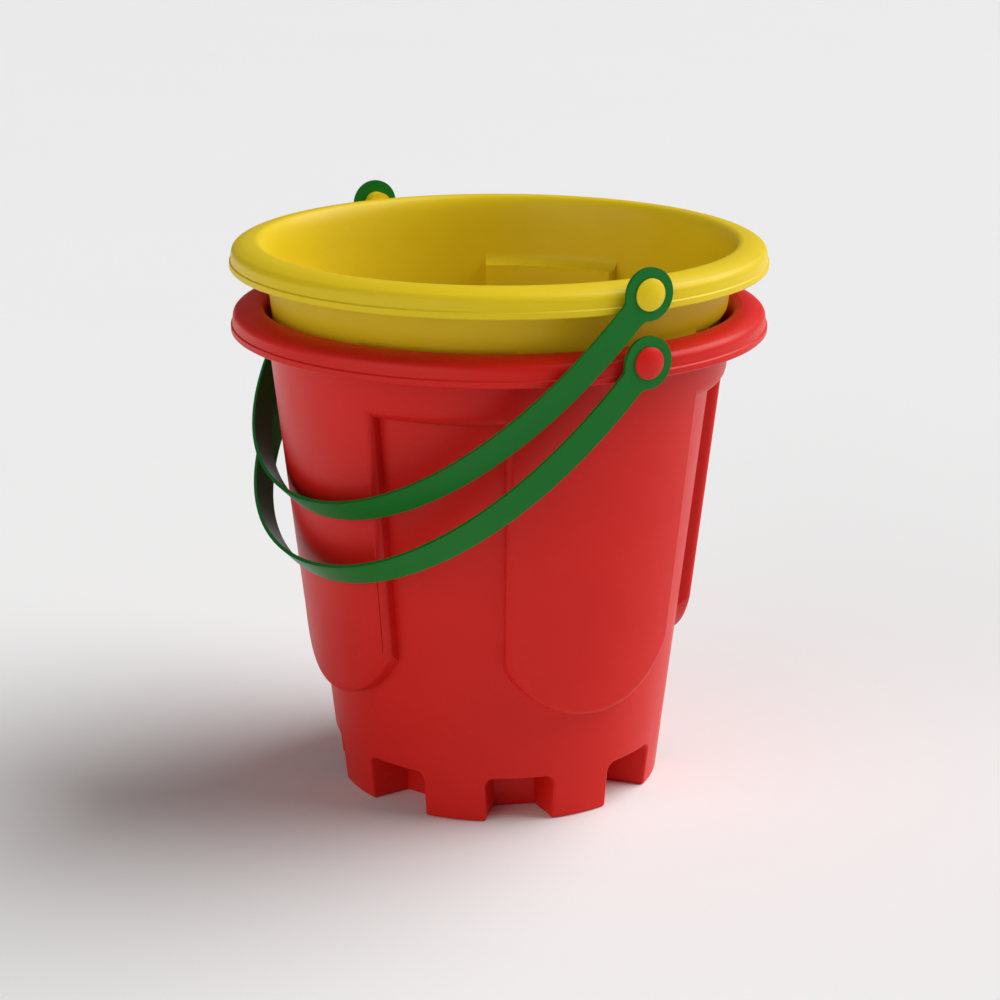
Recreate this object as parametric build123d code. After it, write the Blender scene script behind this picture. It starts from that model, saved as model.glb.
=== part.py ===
"""Two castle-tower sand buckets, the yellow one nested in the red one, each with a strap handle.

Millimetres, +Z up. The origin is the centre of the red bucket's foot, on the ground.
Both handles turn about an axis along X, and both hang towards -Y.
"""

from build123d import *
from math import asin, atan, cos, degrees, hypot, radians, sin, sqrt, tan
import os

os.makedirs("parts", exist_ok=True)

# --- Tower wall: one cone for the core, a parallel one for the panels and the collar ---
WALL = 1.3                # thickness of the moulded wall and floor
TAPER = 0.11              # growth of every wall radius per mm of height
CORE_FOOT_R = 68.0        # core radius at the ground
PANEL_STEP = 6.2          # panels and collar stand this far out of the core
BODY_TOP = 190.0          # the tower wall ends here and the rolled rim begins
CORE_TOP = 178.0          # the core ends inside the collar
LEDGE_Z = 173.0           # underside of the collar, over the recesses
COLLAR_ROUND = 6.0        # rounding of the collar's lower edge
COLLAR_CENTRE_Z = LEDGE_Z + COLLAR_ROUND
FOOT_ROUND = 1.2          # rounding round the foot and the mouths of its notches

# --- Four raised panels, centred on the X and Y axes ---
PANELS = 4
RED_PANEL_HALF = 28.1     # degrees either side of the panel's centre
YELLOW_PANEL_HALF = 26.8  # narrower by a wall and a clearance, so that it drops into the red one
PANEL_ARC_R = 41.0        # round lower end of a panel
PANEL_ARC_Z = 88.7        # height of that arc's centre
PANEL_ROUND = 3.0         # rounding of a panel's outer edges
PANEL_ROOT = 45.0         # a panel's block starts this far from the bucket's axis, inside the core

# --- Eight battlement notches round the foot ---
NOTCHES = 8
NOTCH_FIRST = 22.5        # degrees from the X axis to the first notch
NOTCH_HEIGHT = 19.8
NOTCH_INNER_R = 51.0      # distance of the notch's back wall from the bucket's axis
NOTCH_INNER_HALF = 8.5    # half width at the back wall
NOTCH_FLARE = 0.333       # growth of the half width per mm outwards
NOTCH_ROUND = 4.0         # rounding of the notch's upper corners

# --- Rolled rim ---
RIM_TOP = 203.8
CREST_R = 99.6            # highest ring of the rim
SHOULDER_R = 15.8         # flat arc from the crest outwards
SHOULDER_TURN = 30.0      # degrees that the flat arc covers
CORNER_R = 3.4            # tighter arc down to the skirt
RIM_WALL = 1.4
SKIRT_DROOP = 0.2         # the skirt leans out this much down to the bead
BEAD_R = 110.0
BEAD_BOTTOM = 193.0
BEAD_HEIGHT = 2.5
BEAD_ROUND = 0.5

# --- Pivots ---
PIVOT_Z = 200.15
SEAT_X = 110.6            # flat face that the button's shoulder sits on, just proud of the rim
SEAT_FOOT_X = 106.5       # the seat starts inside the rim's skirt
BOSS_R = 6.2
BOSS_INNER_X = 94.6
TAIL_R = 3.0              # pressed-in tail of a pivot button
TAIL_LENGTH = 8.5
TAIL_ROOM = 0.5           # depth left in the bore past the tail
BEARING_R = 5.25          # also the radius of the seat
HEAD_R = 6.2
HEAD_EDGE = 0.6
HEAD_DOME = 1.5

# --- Strap handle ---
STRAP_OUTER_X = 112.7     # outer face of the eyes
STRAP_THICKNESS = 1.5
STRAP_WIDTH = 10.8
STRAP_DEPTH = 133.8       # pivot axis to the outer face of the loop's middle
STRAP_STRAIGHT = 7.5      # straight length from the pivot axis before the bow begins
BOW_X_POWER = 2.02        # powers of the superellipse that the bow follows
BOW_DEPTH_POWER = 2.24
BOW_STEPS = 24
EYE_R = 10.2
EYE_HOLE_R = BEARING_R + 0.05
HEAD_GAP = 0.1            # play between strap and button head
NECK_ROUND = 4.0
HANG_ANGLE = 45.5         # the handles hang this far below the horizontal

# --- Nesting ---
NEST_RISE = 26.04         # the yellow bucket sits this much higher than the red one

SLOPE = sqrt(1 + TAPER**2)


def core_radius(z, inset=0.0):
    """Radius of the tower's core at height z, moved in by inset square to the wall."""
    return CORE_FOOT_R + TAPER * z - inset * SLOPE


def panel_radius(z, inset=0.0):
    """Radius of the panels and the collar at height z."""
    return core_radius(z, inset) + PANEL_STEP


def revolved(face):
    """A profile drawn in the XZ plane, turned once round the Z axis, with its seam between two panels."""
    return Rot(0, 0, 180 / PANELS) * revolve(face, axis=Axis.Z)


def on_circle(centre, radius, angle):
    return (centre[0] + radius * cos(radians(angle)), centre[1] + radius * sin(radians(angle)))


def profile_face(*edges):
    return make_face(Plane.XZ * Wire(edges))


def core_face(inset):
    """Half section of the tower's core, from its floor to inside the collar."""
    foot = (core_radius(inset, inset), inset)
    top = (core_radius(CORE_TOP, inset), CORE_TOP)
    points = [(0, inset), foot, top, (0, CORE_TOP), (0, inset)]
    return profile_face(*(Line(a, b) for a, b in zip(points, points[1:])))


def collar(inset):
    """Ring over the recesses, flush with the panels, with a rounded lower edge. Moved in by inset."""
    centre = (panel_radius(COLLAR_CENTRE_Z, COLLAR_ROUND), COLLAR_CENTRE_Z)
    radius = COLLAR_ROUND - inset
    tilt = degrees(atan(TAPER))
    start = on_circle(centre, radius, -90)
    end = on_circle(centre, radius, -tilt)
    points = [end, (panel_radius(BODY_TOP, inset), BODY_TOP), (0, BODY_TOP), (0, start[1]), start]
    edges = [Line(a, b) for a, b in zip(points, points[1:])]
    underside = ThreePointArc(start, on_circle(centre, radius, -(90 + tilt) / 2), end)
    return revolved(profile_face(*edges, underside))


def is_panel_rim(edge):
    """Edges of a panel on its outer cone: both sides and the round lower end."""
    box = edge.bounding_box()
    places = [edge.position_at(share) for share in (0.1, 0.5, 0.9)]
    on_cone = all(abs(hypot(p.X, p.Y) - panel_radius(p.Z)) < 0.01 for p in places)
    return on_cone and box.max.Z - box.min.Z > 1


def panel(panel_half, inset):
    """One raised panel on the +X side, up into the collar: straight sides and a round lower end.

    At no inset its sides are radial and its rim is rounded. An inset moves every outer face in,
    for the space inside a panel, which has sharp corners.
    """
    reach = 200.0
    low = PANEL_ARC_Z - PANEL_ARC_R - 2
    height = BODY_TOP - low
    half = radians(panel_half)
    near, far = (x * tan(half) - inset / cos(half) for x in (PANEL_ROOT, reach))
    corners = [(PANEL_ROOT, -near), (reach, -far), (reach, far), (PANEL_ROOT, near), (PANEL_ROOT, -near)]
    sides = make_face(Polyline(*corners))
    upper = Rectangle(4 * PANEL_ARC_R, BODY_TOP - PANEL_ARC_Z + 1, align=(Align.CENTER, Align.MIN))
    outline = Plane.YZ * Pos(0, PANEL_ARC_Z) * (Circle(PANEL_ARC_R - inset) + upper)
    low_r, top_r = panel_radius(low, inset), panel_radius(BODY_TOP, inset)
    block = Cone(low_r, top_r, height, align=(Align.CENTER, Align.CENTER, Align.MIN))
    block = Rot(0, 0, 180) * Pos(0, 0, low) * block
    block &= Pos(0, 0, low) * extrude(sides, amount=height)
    block &= extrude(outline, amount=reach, dir=(1, 0, 0))
    return block if inset else fillet([e for e in block.edges() if is_panel_rim(e)], PANEL_ROUND)


def notch_section(radius, grow):
    """Cross-section of a notch, square to its centre line, at a distance from the bucket's axis."""
    half = NOTCH_INNER_HALF + NOTCH_FLARE * (radius - NOTCH_INNER_R) + grow
    height = NOTCH_HEIGHT + grow
    depth_below = 5.0
    plane = Plane(origin=(radius, 0, 0), x_dir=(0, 1, 0), z_dir=(1, 0, 0))
    outline = Pos(0, (height - depth_below) / 2) * Rectangle(2 * half, height + depth_below)
    rounded = fillet(outline.vertices().group_by(Axis.Y)[-1], NOTCH_ROUND + grow)
    return plane * rounded


def notch_tool(grow):
    """Wedge that opens outwards, for one notch on the +X side. It reaches below the ground."""
    back = notch_section(NOTCH_INNER_R - grow, grow).face()
    mouth = notch_section(CORE_FOOT_R + 14, grow).face()
    return loft([back, mouth], ruled=True)


def around(tool, count, first):
    return [Rot(0, 0, first + k * 360 / count) * tool for k in range(count)]


def rim_points():
    """Named places on the rim's outer and inner outlines, as (radius, height)."""
    arc_centre = (CREST_R, RIM_TOP - SHOULDER_R)
    turn = radians(90 - SHOULDER_TURN)
    corner_centre = (
        CREST_R + (SHOULDER_R - CORNER_R) * cos(turn),
        RIM_TOP - SHOULDER_R + (SHOULDER_R - CORNER_R) * sin(turn),
    )
    return arc_centre, corner_centre


def over_the_top(inset):
    """Edges from the crest outwards and down to the skirt, moved in by inset."""
    arc_centre, corner_centre = rim_points()
    low = 90 - SHOULDER_TURN
    flat, tight = SHOULDER_R - inset, CORNER_R - inset
    crest, joint = (CREST_R, RIM_TOP - inset), on_circle(arc_centre, flat, low)
    skirt = (corner_centre[0] + tight, corner_centre[1])
    return [
        ThreePointArc(crest, on_circle(arc_centre, flat, (90 + low) / 2), joint),
        ThreePointArc(joint, on_circle(corner_centre, tight, low / 2), skirt),
    ], crest, skirt


def inner_roll(inset, crest):
    """Long soft curve from the wall's inside up to the crest. With an inset, the channel's side of it."""
    foot_r = panel_radius(BODY_TOP, WALL - inset)
    lean = 9.5 - inset / 2
    return Bezier(
        (foot_r, BODY_TOP),
        (foot_r + TAPER * lean, BODY_TOP + lean),
        (crest[0] - 3.4 + inset / 2, crest[1]),
        crest,
    )


def rim_face(channel):
    """Half section of the rim. Without its channel it is the solid envelope, used to trim the bosses."""
    over, crest, skirt = over_the_top(0)
    bead_top = BEAD_BOTTOM + BEAD_HEIGHT
    inside_r = skirt[0] - RIM_WALL
    outline = [
        skirt,
        (skirt[0] + SKIRT_DROOP, bead_top + BEAD_ROUND),
        (BEAD_R, bead_top),
        (BEAD_R, BEAD_BOTTOM + BEAD_ROUND),
        (BEAD_R - BEAD_ROUND, BEAD_BOTTOM),
    ]
    foot = (panel_radius(BODY_TOP, WALL), BODY_TOP)
    wall_foot = (panel_radius(BODY_TOP), BODY_TOP)
    edges = [inner_roll(0, crest), *over]
    if not channel:
        outline += [(wall_foot[0] + 1, BEAD_BOTTOM), (wall_foot[0], BODY_TOP), foot]
        return profile_face(*edges, *(Line(a, b) for a, b in zip(outline, outline[1:])))
    under, under_crest, under_skirt = over_the_top(RIM_WALL)
    outline += [(inside_r, BEAD_BOTTOM), under_skirt]
    edges += [Line(a, b) for a, b in zip(outline, outline[1:])]
    edges += [*under, inner_roll(WALL, under_crest), Line(wall_foot, foot)]
    return profile_face(*edges)


def along_x(radius, low, high):
    """Cylinder on the pivot axis, between two distances from the bucket's axis."""
    cylinder = Cylinder(radius, high - low, align=(Align.CENTER, Align.CENTER, Align.MIN))
    return Pos(low, 0, PIVOT_Z) * Rot(0, 90, 0) * cylinder


def add_pivot_seats(shell):
    """Boss inside the rim, seat just proud of it and blind bore, at both ends of the pivot axis."""
    envelope = revolved(rim_face(channel=False))
    boss = along_x(BOSS_R, BOSS_INNER_X, SEAT_X - 1) & envelope
    seat = along_x(BEARING_R, SEAT_FOOT_X, SEAT_X)
    bore = along_x(TAIL_R, SEAT_X - TAIL_LENGTH - TAIL_ROOM, SEAT_X)
    for turn in (0, 180):
        spin = Rot(0, 0, turn)
        shell = shell + spin * boss + spin * seat - spin * bore
    return shell


def notched(solid, grow):
    """Cuts the eight notches, grown by a wall when it is the cavity that is being cut."""
    for tool in around(notch_tool(grow), NOTCHES, NOTCH_FIRST):
        solid -= tool
    return solid


def is_foot_edge(edge):
    """Edges of the foot: those on the ground, and those where a notch breaks through the outer cone."""
    box = edge.bounding_box()
    middle = edge.position_at(0.5)
    on_cone = abs(hypot(middle.X, middle.Y) - core_radius(middle.Z)) < 0.02
    return box.max.Z < 0.01 or (on_cone and box.max.Z < NOTCH_HEIGHT + 1)


def bucket(panel_half):
    """One bucket: tower with panels, collar, battlement foot, rolled rim and pivot seats.

    The same core, collar and panels, moved in by a wall, are then cut out of it.
    """
    shell = notched(revolved(core_face(0)), 0)
    shell = fillet([e for e in shell.edges() if is_foot_edge(e)], FOOT_ROUND)
    shell += collar(0)
    for block in around(panel(panel_half, 0), PANELS, 0):
        shell += block
    shell -= notched(revolved(core_face(WALL)), WALL)
    shell -= collar(WALL)
    for block in around(panel(panel_half, WALL), PANELS, 0):
        shell -= block
    shell += revolved(rim_face(channel=True))
    return add_pivot_seats(shell)


def pivot_button():
    """Press-in button on the +X side: tail, bearing and domed head, turned about the pivot axis."""
    tail_x = SEAT_X - TAIL_LENGTH
    head_x = STRAP_OUTER_X + HEAD_GAP
    edge_x = head_x + HEAD_EDGE
    tip_x = edge_x + HEAD_DOME
    dome_r = (HEAD_R**2 + HEAD_DOME**2) / (2 * HEAD_DOME)
    dome_centre = (0, tip_x - dome_r)
    half_turn = degrees(asin(HEAD_R / dome_r)) / 2
    outline = [
        (0, tip_x),
        (0, tail_x),
        (TAIL_R, tail_x),
        (TAIL_R, SEAT_X),
        (BEARING_R, SEAT_X),
        (BEARING_R, head_x),
        (HEAD_R, head_x),
        (HEAD_R, edge_x),
    ]
    dome = ThreePointArc(outline[-1], on_circle(dome_centre, dome_r, 90 - half_turn), outline[0])
    edges = [Line(a, b) for a, b in zip(outline, outline[1:])]
    standing = revolved(profile_face(*edges, dome))
    return Pos(0, 0, PIVOT_Z) * Rot(0, 90, 0) * standing


def bow_point(t):
    """Point of the strap's outer line, as (x, depth): t runs from the eye at 1 to the middle at 0."""
    angle = radians(90 * t)
    depth = STRAP_STRAIGHT + (STRAP_DEPTH - STRAP_STRAIGHT) * cos(angle) ** (2 / BOW_DEPTH_POWER)
    return STRAP_OUTER_X * sin(angle) ** (2 / BOW_X_POWER), depth


def bow_side(inset):
    """Half of the bow's line, from the eye's end to the middle, moved in by inset."""
    step = 0.002
    points = [(STRAP_OUTER_X - inset, STRAP_STRAIGHT)]
    for k in range(1, BOW_STEPS):
        t = 1 - k / BOW_STEPS
        (x0, d0), (x1, d1) = bow_point(t + step), bow_point(t - step)
        run = hypot(x1 - x0, d1 - d0)
        x, d = bow_point(t)
        points.append((x - inset * (d1 - d0) / run, d + inset * (x1 - x0) / run))
    points.append((0, STRAP_DEPTH - inset))
    return points


def bow_line(inset):
    """The whole bow as one smooth curve, drawn towards -Y."""
    half = bow_side(inset)
    points = [(x, -d) for x, d in half] + [(-x, -d) for x, d in reversed(half[:-1])]
    return Spline(*points, tangents=[(0, -1), (0, 1)])


def strap_handle():
    """Strap handle lying level, on a pivot axis through the origin: bow, two eyes and their necks."""
    outer, inner = STRAP_OUTER_X, STRAP_OUTER_X - STRAP_THICKNESS
    ends = [(outer, -STRAP_STRAIGHT), (outer, 0), (inner, 0), (inner, -STRAP_STRAIGHT)]
    edges = [bow_line(0), bow_line(STRAP_THICKNESS)]
    for side in (1, -1):
        points = [(side * x, y) for x, y in ends]
        edges += [Line(a, b) for a, b in zip(points, points[1:])]
    ribbon = extrude(make_face(Wire(edges)), amount=STRAP_WIDTH / 2, both=True)
    disc = Cylinder(EYE_R, STRAP_THICKNESS)
    hole = Cylinder(EYE_HOLE_R, 4 * STRAP_THICKNESS)
    for side in (1, -1):
        place = Pos(side * (outer + inner) / 2, 0, 0) * Rot(0, 90, 0)
        ribbon += place * disc
        ribbon -= place * hole
    necks = [e for e in ribbon.edges() if is_neck(e)]
    return fillet(necks, NECK_ROUND)


def is_neck(edge):
    """The short inner corners where the strap runs into a round eye."""
    box = edge.bounding_box()
    middle_y = sqrt(EYE_R**2 - (STRAP_WIDTH / 2) ** 2)
    flat = box.size.Y < 0.1 and box.size.Z < 0.1
    return flat and abs(box.min.Y + middle_y) < 0.2 and abs(abs(box.min.Z) - STRAP_WIDTH / 2) < 0.1


def hanging(handle):
    return Pos(0, 0, PIVOT_Z) * Rot(HANG_ANGLE, 0, 0) * handle


def main():
    raise_up = Pos(0, 0, NEST_RISE)
    handle = hanging(strap_handle())
    button = pivot_button()
    other_side = Rot(0, 0, 180)
    nodes = {
        "red_bucket": bucket(RED_PANEL_HALF),
        "red_handle": handle,
        "red_pivot_button_right": button,
        "red_pivot_button_left": other_side * button,
        "yellow_bucket": raise_up * bucket(YELLOW_PANEL_HALF),
        "yellow_handle": raise_up * handle,
        "yellow_pivot_button_right": raise_up * button,
        "yellow_pivot_button_left": raise_up * other_side * button,
    }
    for name, shape in nodes.items():
        export_step(shape, f"parts/{name}.step")


main()
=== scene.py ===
"""Looks of the nested sand buckets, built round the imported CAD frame."""

import math

import bpy
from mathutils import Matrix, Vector

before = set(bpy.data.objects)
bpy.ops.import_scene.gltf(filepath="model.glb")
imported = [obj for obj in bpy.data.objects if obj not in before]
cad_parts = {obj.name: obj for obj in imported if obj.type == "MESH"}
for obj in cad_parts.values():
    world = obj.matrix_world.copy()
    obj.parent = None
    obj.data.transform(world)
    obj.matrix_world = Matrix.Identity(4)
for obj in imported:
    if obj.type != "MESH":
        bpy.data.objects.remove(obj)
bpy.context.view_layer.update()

# Camera: metres in the row frame, degrees, and a lens in millimetres.
CAMERA_AT = (0.8572, -0.4909, 0.4157)
CAMERA_PITCH = 16.82
CAMERA_ROLL = -0.1
CAMERA_LENS = 88.14
SENSOR_WIDTH = 36.0
CLIP_END = 20.0

# Plastic: noise scales are in cycles per metre.
CLOUD_SCALE = 14.0
SCRATCH_SCALE = 160.0
GLOSS_SCALE = 40.0
GRAIN_SCALE = 1500.0
SCRATCH_FROM = 0.62
SCRATCH_TO = 0.78
SCRATCH_COVER = 0.30
GLOSS_LESS = 0.03
GLOSS_MORE = 0.05
GRAIN_STRENGTH = 0.06
GRAIN_DEPTH = 0.0003
PLASTIC_IOR = 1.49
PLASTIC_SPECULAR = 0.20

# Floor and light: angles in degrees.
FLOOR_HALF = 6.0
FLOOR_TONES = ((0.83, 0.83, 0.83), (0.84, 0.84, 0.84))
FLOOR_TONE_SCALE = 3.0
FLOOR_ROUGHNESS = 0.9
WHITE = (1.0, 1.0, 1.0)
WORLD_STRENGTH = 0.12


def add_camera():
    data = bpy.data.cameras.new("camera")
    camera = bpy.data.objects.new("camera", data)
    bpy.context.scene.collection.objects.link(camera)
    data.lens = CAMERA_LENS
    data.sensor_width = SENSOR_WIDTH
    data.clip_end = CLIP_END
    camera.location = CAMERA_AT
    heading = math.degrees(math.atan2(-CAMERA_AT[1], -CAMERA_AT[0])) - 90.0
    turn = (90.0 - CAMERA_PITCH, CAMERA_ROLL, heading)
    camera.rotation_euler = [math.radians(angle) for angle in turn]
    bpy.context.scene.camera = camera


def new_material(name):
    material = bpy.data.materials.new(name)
    material.use_nodes = True
    nodes = material.node_tree.nodes
    nodes.clear()
    output = nodes.new("ShaderNodeOutputMaterial")
    shader = nodes.new("ShaderNodeBsdfPrincipled")
    material.node_tree.links.new(shader.outputs["BSDF"], output.inputs["Surface"])
    return material, nodes, material.node_tree.links, shader


def noise(nodes, links, coordinates, scale, detail=2.0, roughness=0.5):
    node = nodes.new("ShaderNodeTexNoise")
    node.inputs["Scale"].default_value = scale
    node.inputs["Detail"].default_value = detail
    node.inputs["Roughness"].default_value = roughness
    links.new(coordinates, node.inputs["Vector"])
    return node.outputs["Fac"]


def remap(nodes, links, value, low, high, to_low, to_high):
    node = nodes.new("ShaderNodeMapRange")
    node.inputs["From Min"].default_value = low
    node.inputs["From Max"].default_value = high
    node.inputs["To Min"].default_value = to_low
    node.inputs["To Max"].default_value = to_high
    links.new(value, node.inputs["Value"])
    return node.outputs["Result"]


def mix_colour(nodes, links, factor, a, b):
    node = nodes.new("ShaderNodeMix")
    node.data_type = "RGBA"
    links.new(factor, node.inputs["Factor"])
    for socket, colour in ((node.inputs[6], a), (node.inputs[7], b)):
        if isinstance(colour, tuple):
            socket.default_value = (*colour, 1.0)
        else:
            links.new(colour, socket)
    return node.outputs[2]


def moulded_plastic(name, base, deep, scuff, roughness):
    """Satin injection-moulded plastic: cloudy pigment, fine moulded grain, light scuffs."""
    material, nodes, links, shader = new_material(name)
    place = nodes.new("ShaderNodeTexCoord").outputs["Object"]
    clouds = noise(nodes, links, place, CLOUD_SCALE, 3.0)
    cloudy = remap(nodes, links, clouds, 0.3, 0.7, 0.0, 1.0)
    colour = mix_colour(nodes, links, cloudy, base, deep)
    scratches = noise(nodes, links, place, SCRATCH_SCALE, 5.0, 0.65)
    worn = remap(nodes, links, scratches, SCRATCH_FROM, SCRATCH_TO, 0.0, SCRATCH_COVER)
    colour = mix_colour(nodes, links, worn, colour, scuff)
    links.new(colour, shader.inputs["Base Color"])
    patches = noise(nodes, links, place, GLOSS_SCALE, 4.0)
    gloss = remap(nodes, links, patches, 0.3, 0.7, roughness - GLOSS_LESS, roughness + GLOSS_MORE)
    links.new(gloss, shader.inputs["Roughness"])
    grain = noise(nodes, links, place, GRAIN_SCALE)
    bump = nodes.new("ShaderNodeBump")
    bump.inputs["Strength"].default_value = GRAIN_STRENGTH
    bump.inputs["Distance"].default_value = GRAIN_DEPTH
    links.new(grain, bump.inputs["Height"])
    links.new(bump.outputs["Normal"], shader.inputs["Normal"])
    shader.inputs["IOR"].default_value = PLASTIC_IOR
    shader.inputs["Specular IOR Level"].default_value = PLASTIC_SPECULAR
    return material


def add_floor():
    mesh = bpy.data.meshes.new("floor")
    corners = [
        (-FLOOR_HALF, -FLOOR_HALF, 0.0),
        (FLOOR_HALF, -FLOOR_HALF, 0.0),
        (FLOOR_HALF, FLOOR_HALF, 0.0),
        (-FLOOR_HALF, FLOOR_HALF, 0.0),
    ]
    mesh.from_pydata(corners, [], [(0, 1, 2, 3)])
    floor = bpy.data.objects.new("floor", mesh)
    bpy.context.scene.collection.objects.link(floor)
    material, nodes, links, shader = new_material("floor_paper")
    place = nodes.new("ShaderNodeTexCoord").outputs["Object"]
    mottle = noise(nodes, links, place, FLOOR_TONE_SCALE)
    tone = mix_colour(nodes, links, mottle, *FLOOR_TONES)
    links.new(tone, shader.inputs["Base Color"])
    shader.inputs["Roughness"].default_value = FLOOR_ROUGHNESS
    mesh.materials.append(material)


def add_world(strength):
    world = bpy.data.worlds.new("studio")
    world.use_nodes = True
    background = world.node_tree.nodes["Background"]
    background.inputs["Color"].default_value = (*WHITE, 1.0)
    background.inputs["Strength"].default_value = strength
    bpy.context.scene.world = world


def add_sun(name, azimuth, elevation, strength, spread):
    """Soft white sun that shines from a compass direction in the row frame, from +X."""
    data = bpy.data.lights.new(name, "SUN")
    data.energy = strength
    data.angle = math.radians(spread)
    data.color = WHITE
    light = bpy.data.objects.new(name, data)
    bpy.context.scene.collection.objects.link(light)
    level = math.cos(math.radians(elevation))
    towards = Vector((
        level * math.cos(math.radians(azimuth)),
        level * math.sin(math.radians(azimuth)),
        math.sin(math.radians(elevation)),
    ))
    light.rotation_euler = towards.to_track_quat("Z", "Y").to_euler()


add_camera()
bpy.context.scene.view_settings.view_transform = "Standard"

# Each plastic: base pigment, deeper pigment in the clouds, scuffed pigment, roughness.
RED = moulded_plastic(
    "red_plastic", (0.68, 0.014, 0.009), (0.62, 0.011, 0.007), (0.72, 0.05, 0.04), 0.38
)
YELLOW = moulded_plastic(
    "yellow_plastic", (0.80, 0.59, 0.012), (0.75, 0.54, 0.010), (0.85, 0.67, 0.10), 0.38
)
GREEN = moulded_plastic(
    "green_plastic", (0.004, 0.165, 0.017), (0.003, 0.145, 0.014), (0.012, 0.20, 0.04), 0.36
)

NODE_MATERIALS = {
    "red_bucket": RED,
    "red_pivot_button_right": RED,
    "red_pivot_button_left": RED,
    "yellow_bucket": YELLOW,
    "yellow_pivot_button_right": YELLOW,
    "yellow_pivot_button_left": YELLOW,
    "red_handle": GREEN,
    "yellow_handle": GREEN,
}
for name, material in NODE_MATERIALS.items():
    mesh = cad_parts[name].data
    mesh.materials.clear()
    mesh.materials.append(material)

add_floor()
add_world(WORLD_STRENGTH)
# The key is high on the camera's right, a little behind the buckets. The fill is low on its left.
add_sun("key", azimuth=76.0, elevation=44.0, strength=3.6, spread=60.0)
add_sun("fill", azimuth=-75.0, elevation=7.0, strength=1.45, spread=70.0)
